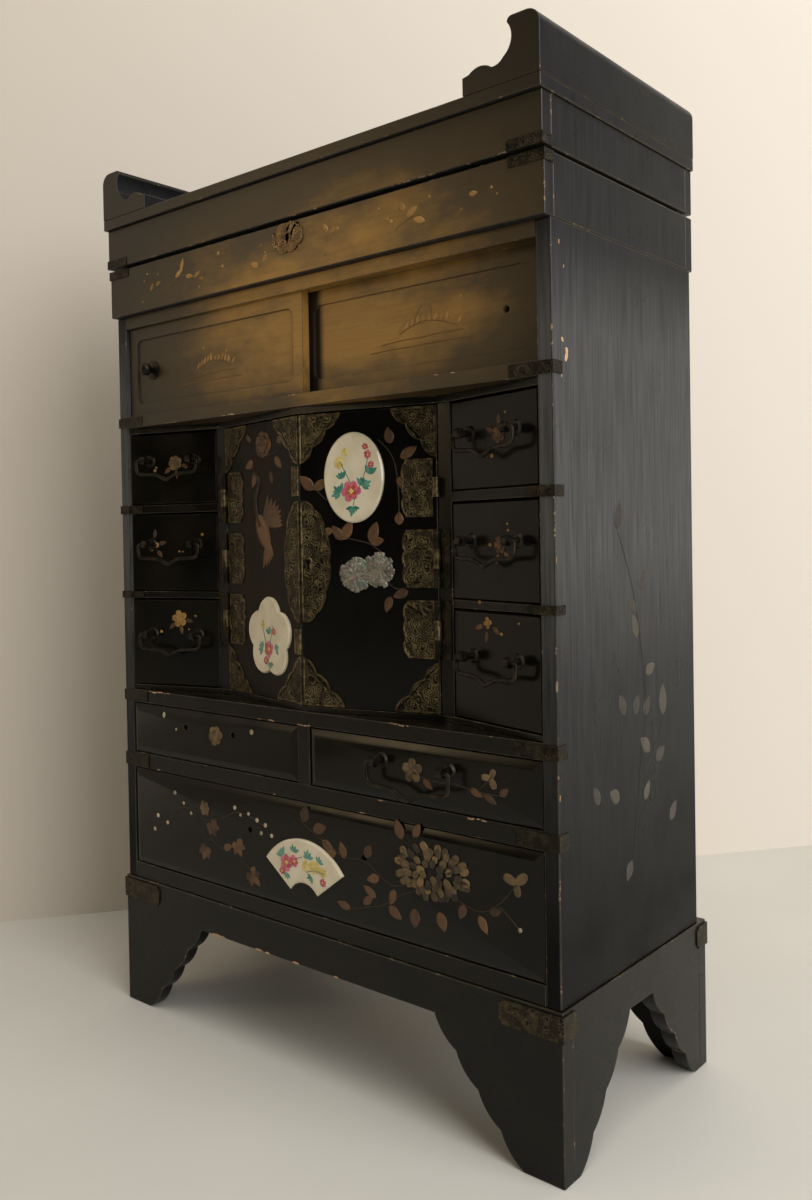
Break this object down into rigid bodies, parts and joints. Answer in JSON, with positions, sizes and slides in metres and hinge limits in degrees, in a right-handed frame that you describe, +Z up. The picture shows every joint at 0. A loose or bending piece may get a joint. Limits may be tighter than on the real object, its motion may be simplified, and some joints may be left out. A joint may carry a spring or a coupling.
{
  "type": "tabletop tansu cabinet",
  "caption": "Tall lacquered tabletop cabinet: zig-zag front of canted drawers and hinged doors, sliding doors, lidded till with scroll ends, and a cusped plinth.",
  "frame": {"origin": "centre of the bounding box, on the floor under the plinth", "axes": "+Z up, the front with the doors and drawers faces -Y, +X to the right as seen from the front"},
  "size_m": [0.3798, 0.1888, 0.616],
  "materials": {
    "black_lacquer": "glossy black lacquer over wood, worn to brown at the edges",
    "drawer_lacquer": "glossy black lacquer on the front, plain dark wood inside",
    "brass": "engraved brass, dulled and tarnished",
    "dark_bronze": "dark patinated copper alloy",
    "iron": "plain dark lock case",
    "porcelain": "white glazed porcelain with painted flowers",
    "shell": "carved mother-of-pearl"
  },
  "bodies": {
    "case": {"plinth_boards": "black_lacquer", "plinth_corner_plates": "brass", "case_side_left": "black_lacquer", "case_side_right": "black_lacquer", "case_back": "black_lacquer", "case_bottom": "black_lacquer", "dust_board": "black_lacquer", "pair_divider": "black_lacquer", "lower_shelf": "black_lacquer", "centre_floor": "black_lacquer", "centre_ceiling": "black_lacquer", "partitions": "black_lacquer", "small_shelves": "black_lacquer", "upper_shelf": "black_lacquer", "case_top": "black_lacquer", "till_walls": "black_lacquer", "till_escutcheon": "brass", "till_lock": "iron", "door_post_leaves": "brass", "lid_hinge_case_leaves": "brass", "case_straps": "brass"},
    "lid": {"lid_frame": "black_lacquer", "top_board": "black_lacquer", "scroll_left": "black_lacquer", "scroll_right": "black_lacquer", "lid_metalwork": "brass"},
    "door_left": {"door_left_panel": "black_lacquer", "door_left_metalwork": "brass", "blossom_plaque": "porcelain"},
    "door_right": {"door_right_panel": "black_lacquer", "door_right_metalwork": "brass", "oval_plaque": "porcelain", "chrysanthemum_inlay": "shell"},
    "slide_left": {"slide_panel_left": "black_lacquer", "slide_knob": "brass"},
    "slide_right": {"slide_panel_right": "black_lacquer"},
    "long_drawer": {"long_drawer": "drawer_lacquer", "fan_plaque": "porcelain"},
    "pair_drawer_left": {"pair_drawer_left": "drawer_lacquer"},
    "pair_drawer_right": {"pair_drawer_right": "drawer_lacquer", "pair_drawer_right_posts": "dark_bronze"},
    "drawer_left_top": {"drawer_left_top": "drawer_lacquer", "drawer_left_top_posts": "dark_bronze"},
    "drawer_right_top": {"drawer_right_top": "drawer_lacquer", "drawer_right_top_posts": "dark_bronze"},
    "drawer_left_middle": {"drawer_left_middle": "drawer_lacquer", "drawer_left_middle_posts": "dark_bronze"},
    "drawer_right_middle": {"drawer_right_middle": "drawer_lacquer", "drawer_right_middle_posts": "dark_bronze"},
    "drawer_left_bottom": {"drawer_left_bottom": "drawer_lacquer", "drawer_left_bottom_posts": "dark_bronze"},
    "drawer_right_bottom": {"drawer_right_bottom": "drawer_lacquer", "drawer_right_bottom_posts": "dark_bronze"},
    "pair_drawer_right_bail": {"pair_drawer_right_bail": "dark_bronze"},
    "drawer_left_top_bail": {"drawer_left_top_bail": "dark_bronze"},
    "drawer_right_top_bail": {"drawer_right_top_bail": "dark_bronze"},
    "drawer_left_middle_bail": {"drawer_left_middle_bail": "dark_bronze"},
    "drawer_right_middle_bail": {"drawer_right_middle_bail": "dark_bronze"},
    "drawer_left_bottom_bail": {"drawer_left_bottom_bail": "dark_bronze"},
    "drawer_right_bottom_bail": {"drawer_right_bottom_bail": "dark_bronze"}
  },
  "joints": [
    {"name": "lid_hinge", "type": "hinge", "parent": "case", "child": "lid", "pos_m": [0, 0.09105, 0.546], "axis": [-1, 0, 0], "range_deg": [0, 100]},
    {"name": "door_left_hinge", "type": "hinge", "parent": "case", "child": "door_left", "pos_m": [-0.0945, -0.06255, 0.3285], "axis": [0, 0, 1], "range_deg": [-110, 0]},
    {"name": "door_right_hinge", "type": "hinge", "parent": "case", "child": "door_right", "pos_m": [0.0945, -0.06255, 0.3285], "axis": [0, 0, -1], "range_deg": [-110, 0]},
    {"name": "slide_left_run", "type": "slide", "parent": "case", "child": "slide_left", "axis": [1, 0, 0], "range_m": [0, 0.1742]},
    {"name": "slide_right_run", "type": "slide", "parent": "case", "child": "slide_right", "axis": [1, 0, 0], "range_m": [-0.1742, 0]},
    {"name": "long_drawer_slide", "type": "slide", "parent": "case", "child": "long_drawer", "axis": [0, -1, 0], "range_m": [0, 0.12]},
    {"name": "pair_drawer_left_slide", "type": "slide", "parent": "case", "child": "pair_drawer_left", "axis": [0, -1, 0], "range_m": [0, 0.12]},
    {"name": "pair_drawer_right_slide", "type": "slide", "parent": "case", "child": "pair_drawer_right", "axis": [0, -1, 0], "range_m": [0, 0.12]},
    {"name": "drawer_left_top_slide", "type": "slide", "parent": "case", "child": "drawer_left_top", "axis": [0, -1, 0], "range_m": [0, 0.1]},
    {"name": "drawer_right_top_slide", "type": "slide", "parent": "case", "child": "drawer_right_top", "axis": [0, -1, 0], "range_m": [0, 0.1]},
    {"name": "drawer_left_middle_slide", "type": "slide", "parent": "case", "child": "drawer_left_middle", "axis": [0, -1, 0], "range_m": [0, 0.1]},
    {"name": "drawer_right_middle_slide", "type": "slide", "parent": "case", "child": "drawer_right_middle", "axis": [0, -1, 0], "range_m": [0, 0.1]},
    {"name": "drawer_left_bottom_slide", "type": "slide", "parent": "case", "child": "drawer_left_bottom", "axis": [0, -1, 0], "range_m": [0, 0.1]},
    {"name": "drawer_right_bottom_slide", "type": "slide", "parent": "case", "child": "drawer_right_bottom", "axis": [0, -1, 0], "range_m": [0, 0.1]},
    {"name": "pair_drawer_right_bail_hinge", "type": "hinge", "parent": "pair_drawer_right", "child": "pair_drawer_right_bail", "pos_m": [0.09162, -0.09145, 0.21243], "axis": [-1, 0, 0], "range_deg": [0, 160]},
    {"name": "drawer_left_top_bail_hinge", "type": "hinge", "parent": "drawer_left_top", "child": "drawer_left_top_bail", "pos_m": [-0.1388, -0.07834, 0.40368], "axis": [-0.9613, -0.2754, 0], "range_deg": [0, 160]},
    {"name": "drawer_right_top_bail_hinge", "type": "hinge", "parent": "drawer_right_top", "child": "drawer_right_top_bail", "pos_m": [0.1388, -0.07834, 0.40368], "axis": [-0.9613, 0.2754, 0], "range_deg": [0, 160]},
    {"name": "drawer_left_middle_bail_hinge", "type": "hinge", "parent": "drawer_left_middle", "child": "drawer_left_middle_bail", "pos_m": [-0.1388, -0.07834, 0.34243], "axis": [-0.9613, -0.2754, 0], "range_deg": [0, 160]},
    {"name": "drawer_right_middle_bail_hinge", "type": "hinge", "parent": "drawer_right_middle", "child": "drawer_right_middle_bail", "pos_m": [0.1388, -0.07834, 0.34243], "axis": [-0.9613, 0.2754, 0], "range_deg": [0, 160]},
    {"name": "drawer_left_bottom_bail_hinge", "type": "hinge", "parent": "drawer_left_bottom", "child": "drawer_left_bottom_bail", "pos_m": [-0.1388, -0.07834, 0.27643], "axis": [-0.9613, -0.2754, 0], "range_deg": [0, 160]},
    {"name": "drawer_right_bottom_bail_hinge", "type": "hinge", "parent": "drawer_right_bottom", "child": "drawer_right_bottom_bail", "pos_m": [0.1388, -0.07834, 0.27643], "axis": [-0.9613, 0.2754, 0], "range_deg": [0, 160]}
  ]
}
